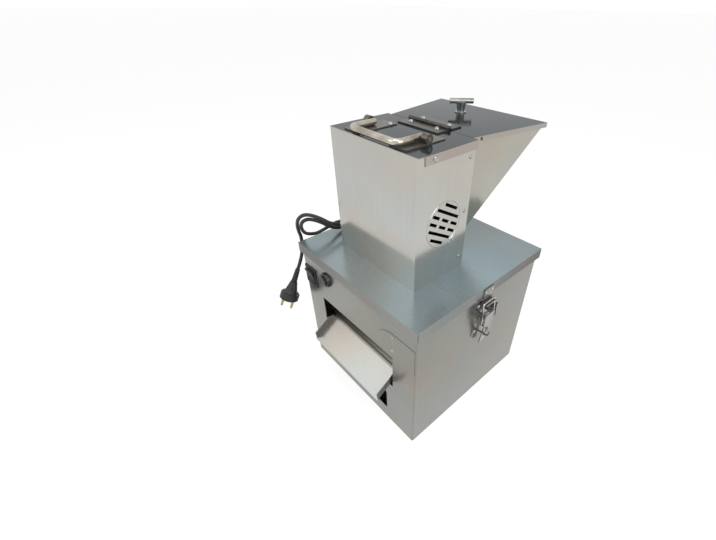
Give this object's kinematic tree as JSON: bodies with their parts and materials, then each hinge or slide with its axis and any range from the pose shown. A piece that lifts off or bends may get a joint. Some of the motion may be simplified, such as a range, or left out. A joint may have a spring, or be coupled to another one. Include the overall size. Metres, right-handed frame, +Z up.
{
  "type": "electric grain mill",
  "caption": "Hammer-type electric grain mill: square sheet-metal case with chute outlet, vented motor tower with carry handle, hinged hopper, side latches and mains cord.",
  "frame": {"origin": "centre of the case's footprint, on the surface that the mill stands on", "axes": "+X towards the side with the latch seen in the picture, -Y the front with the flour outlet, +Z up"},
  "size_m": [0.3605, 0.3681, 0.4922],
  "materials": {
    "case_steel": "satin",
    "lid_steel": "satin",
    "bright_steel": "polished",
    "hinge_steel": "satin",
    "handle_steel": "satin",
    "cast_metal": "matt",
    "black_plastic": "semi-gloss",
    "motor_steel": "matt",
    "winding": "satin",
    "black_rubber": "matt",
    "white_plastic": "matt",
    "fan_plastic": "matt",
    "pin_brass": "polished"
  },
  "bodies": {
    "mill": {"case_body": "case_steel", "case_floor": "case_steel", "slide_plate": "case_steel", "outlet_chute": "case_steel", "corner_plate": "bright_steel", "case_screws": "bright_steel", "rivets": "bright_steel", "switch_frame": "black_plastic", "breaker_body": "black_plastic", "base_lid": "lid_steel", "tower_wrap": "case_steel", "tower_back": "case_steel", "tower_cover": "lid_steel", "tower_screws": "bright_steel", "handle_plates": "handle_steel", "hinge_front_leaf": "hinge_steel", "hinge_pin": "bright_steel", "hopper_shell": "case_steel", "feed_throat": "case_steel", "latch_bases": "bright_steel", "latch_pins": "bright_steel", "latch_keepers": "bright_steel", "motor_flange": "cast_metal", "motor_can": "motor_steel", "motor_cap": "cast_metal", "motor_bolts": "bright_steel", "stator_core": "motor_steel", "stator_windings": "winding", "bearings": "bright_steel", "brush_gear": "black_plastic", "chamber_plate": "cast_metal", "shaft_seal": "black_rubber", "sieve_ring": "bright_steel", "chamber_floor": "bright_steel", "chamber_studs": "bright_steel", "terminal_block": "white_plastic", "inner_leads": "black_rubber", "cord_gland": "black_rubber", "power_cord": "black_rubber", "plug_body": "black_rubber", "plug_pins": "pin_brass"},
    "hopper_lid_body": {"hinge_rear_leaf": "hinge_steel", "lid_screws": "bright_steel", "hopper_lid": "lid_steel", "lid_knob": "black_plastic"},
    "handle": {"carry_handle": "handle_steel"},
    "gate": {"feed_gate": "case_steel"},
    "rocker": {"switch_rocker": "black_plastic"},
    "reset": {"reset_button": "black_plastic"},
    "rotor": {"rotor_shaft": "bright_steel", "armature": "motor_steel", "armature_windings": "winding", "cooling_fan": "fan_plastic", "grinding_blades": "bright_steel", "rotor_nut": "bright_steel"},
    "lever_right": {"latch_lever_right": "bright_steel"},
    "lever_left": {"latch_lever_left": "bright_steel"},
    "bail_right": {"latch_bail_right": "bright_steel"},
    "bail_left": {"latch_bail_left": "bright_steel"}
  },
  "joints": [
    {"name": "hopper_lid_hinge", "type": "hinge", "parent": "mill", "child": "hopper_lid_body", "pos_m": [-0.004, 0.0141, 0.4746], "axis": [1, 0, 0], "range_deg": [0, 115]},
    {"name": "carry_handle_pivot", "type": "hinge", "parent": "mill", "child": "handle", "pos_m": [-0.004, -0.05, 0.4776], "axis": [-1, 0, 0], "range_deg": [0, 90]},
    {"name": "feed_gate_slide", "type": "slide", "parent": "mill", "child": "gate", "axis": [0, 1, 0], "range_m": [0, 0.024]},
    {"name": "switch_rocker_tilt", "type": "hinge", "parent": "mill", "child": "rocker", "pos_m": [-0.127, -0.1485, 0.209], "axis": [-1, 0, 0], "range_deg": [0, 16]},
    {"name": "reset_button_press", "type": "slide", "parent": "mill", "child": "reset", "axis": [0, 1, 0], "range_m": [0, 0.0025], "stiffness_N_per_m": 800},
    {"name": "rotor_spin", "type": "hinge", "parent": "mill", "child": "rotor", "pos_m": [-0.004, -0.0423, 0.3], "axis": [0, 0, 1], "continuous": true},
    {"name": "latch_lever_right_pivot", "type": "hinge", "parent": "mill", "child": "lever_right", "pos_m": [0.154, 0.002, 0.218], "axis": [0, -1, 0], "range_deg": [0, 90]},
    {"name": "latch_bail_right_pivot", "type": "hinge", "parent": "lever_right", "child": "bail_right", "pos_m": [0.1578, 0.002, 0.21], "axis": [0, -1, 0], "range_deg": [-90.5, 0]},
    {"name": "latch_lever_left_pivot", "type": "hinge", "parent": "mill", "child": "lever_left", "pos_m": [-0.154, 0.002, 0.218], "axis": [0, 1, 0], "range_deg": [0, 90]},
    {"name": "latch_bail_left_pivot", "type": "hinge", "parent": "lever_left", "child": "bail_left", "pos_m": [-0.1578, 0.002, 0.21], "axis": [0, 1, 0], "range_deg": [-90.5, 0]}
  ],
  "couplings": [
    {"joint": "latch_bail_right_pivot", "follows": "latch_lever_right_pivot", "ratio": -1},
    {"joint": "latch_bail_left_pivot", "follows": "latch_lever_left_pivot", "ratio": -1}
  ]
}
